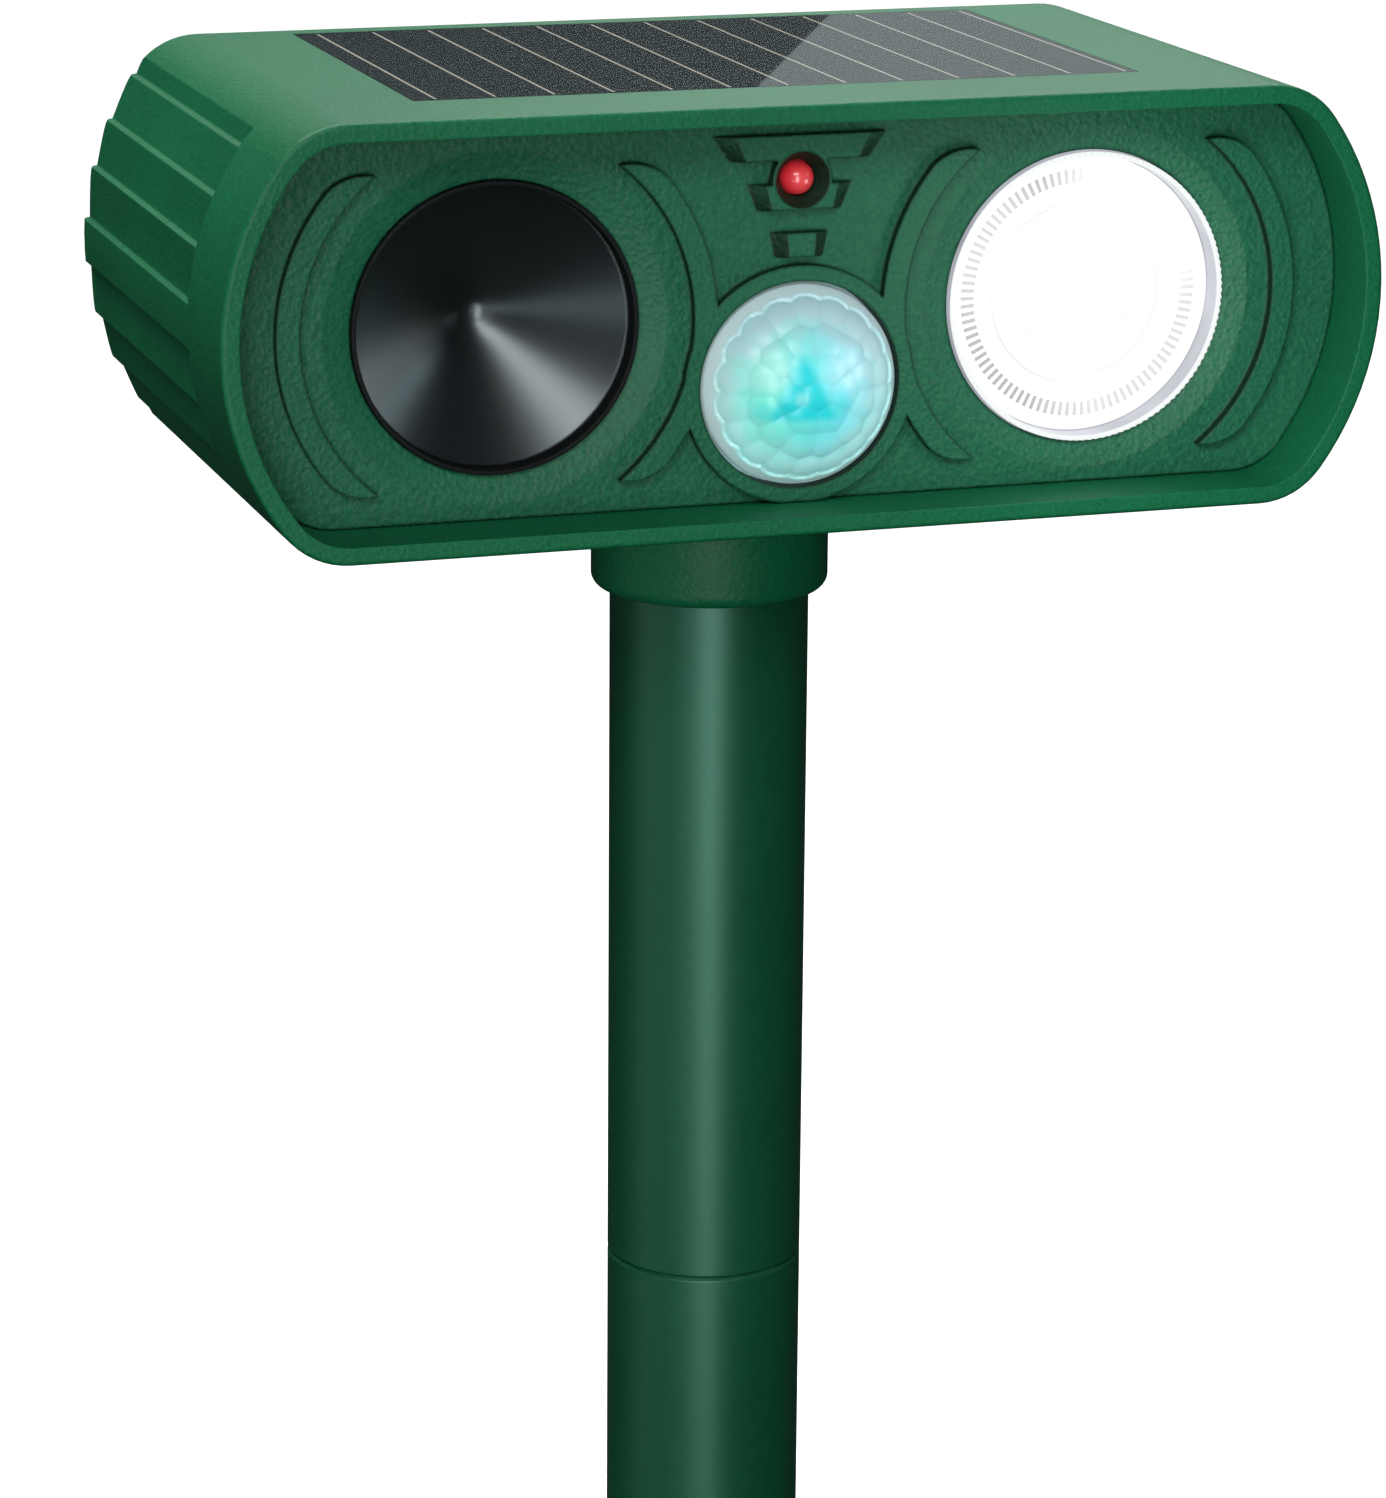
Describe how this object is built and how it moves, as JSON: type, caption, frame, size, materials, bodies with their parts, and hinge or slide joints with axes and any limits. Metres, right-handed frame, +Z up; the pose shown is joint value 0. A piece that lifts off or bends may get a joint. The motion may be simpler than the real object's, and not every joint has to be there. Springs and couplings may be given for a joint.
{
  "type": "ultrasonic animal repeller",
  "caption": "Solar ultrasonic animal repeller: a visored head with speaker, motion sensor and flash lamp, on a two-piece pole with a ground spike.",
  "frame": {"origin": "on the pole's axis at soil level, the underside of the spike's round flange", "axes": "+Z up along the pole, the head's front faces -Y, X across the head"},
  "size_m": [0.145, 0.0812, 0.3943],
  "materials": {
    "green_textured": "fine moulded texture",
    "green_face": "fine leather-like moulded texture",
    "green_satin": "satin extruded tube",
    "black_gloss": "high gloss",
    "black_plastic": "matte moulded",
    "black_rubber": "matte",
    "foam": "closed-cell foam",
    "panel_board": "pale cream laminate",
    "solar_silicon": "dark slate cells",
    "panel_resin": "clear resin",
    "clear_plastic": "clear moulded lens",
    "white_dome": "translucent white lens",
    "silver_coat": "vacuum-metallised",
    "led_white": "lit white package",
    "led_red": "lit red lens",
    "board_green": "solder mask over glass laminate",
    "board_white": "white solder mask over aluminium",
    "chip_black": "moulded package",
    "steel": "zinc-plated",
    "tin": "tinned or nickel-plated sheet",
    "copper": "enamelled copper wire",
    "ferrite": "sintered",
    "brass": "bare disc with a fired coating",
    "cell_wrap": "shrink sleeve",
    "header_white": "moulded header",
    "wire_red": "PVC insulation",
    "wire_black": "PVC insulation",
    "cable_grey": "PVC sheath",
    "window_dark": "infrared filter window"
  },
  "bodies": {
    "ground_spike": {"ground_spike": "green_satin"},
    "pole_lower": {"pole_lower": "green_satin"},
    "pole_upper": {"pole_upper": "green_satin"},
    "head": {"battery_cell": "cell_wrap", "battery_contacts": "tin", "battery_cradle": "black_plastic", "battery_wire_black": "wire_black", "battery_wire_red": "wire_red", "board_screws": "steel", "control_chip": "chip_black", "cradle_screws": "steel", "driver_transformer": "ferrite", "face_plate": "green_face", "face_screws": "steel", "filter_capacitors": "chip_black", "flap_strap": "black_rubber", "flash_board": "board_white", "flash_leds": "led_white", "flash_lens": "clear_plastic", "flash_reflector": "silver_coat", "flash_screws": "steel", "flash_wire_black": "wire_black", "flash_wire_red": "wire_red", "indicator_leads": "tin", "indicator_led": "led_red", "link_cable": "cable_grey", "main_board": "board_green", "main_housing": "green_textured", "mode_switch": "black_plastic", "panel_tape": "foam", "pir_lens": "white_dome", "pir_retainer": "black_plastic", "pir_sensor": "tin", "pir_window": "window_dark", "pole_socket": "green_textured", "rear_board": "board_green", "rear_board_screws": "steel", "rear_cover": "green_textured", "rear_screws": "steel", "rear_seal": "black_rubber", "socket_screws": "steel", "socket_seal": "black_rubber", "solar_board": "panel_board", "solar_cells": "solar_silicon", "solar_cover": "panel_resin", "solar_wire_black": "wire_black", "solar_wire_red": "wire_red", "speaker_cone": "black_gloss", "speaker_frame": "black_plastic", "speaker_gasket": "foam", "speaker_piezo": "brass", "speaker_screws": "steel", "speaker_wire_black": "wire_black", "speaker_wire_red": "wire_red", "transformer_winding": "copper", "usb_socket": "tin", "wire_headers": "header_white"},
    "knob": {"mode_knob": "green_face", "switch_shaft": "black_plastic"},
    "port_flap": {"port_flap": "black_rubber"}
  },
  "joints": [
    {"name": "lower_pole_pull", "type": "slide", "parent": "ground_spike", "child": "pole_lower", "axis": [0, 0, 1], "range_m": [0, 0.022]},
    {"name": "upper_pole_pull", "type": "slide", "parent": "pole_lower", "child": "pole_upper", "axis": [0, 0, 1], "range_m": [0, 0.022]},
    {"name": "head_turn", "type": "hinge", "parent": "pole_upper", "child": "head", "pos_m": [0, 0, 0.2475], "axis": [0, 0, 1], "continuous": true},
    {"name": "mode_turn", "type": "hinge", "parent": "head", "child": "knob", "pos_m": [0.038, 0.0355, 0.2685], "axis": [0, -1, 0], "range_deg": [0, 150]},
    {"name": "flap_open", "type": "hinge", "parent": "head", "child": "port_flap", "pos_m": [0.014, 0.036, 0.26962], "axis": [1, 0, 0], "range_deg": [0, 110]}
  ]
}
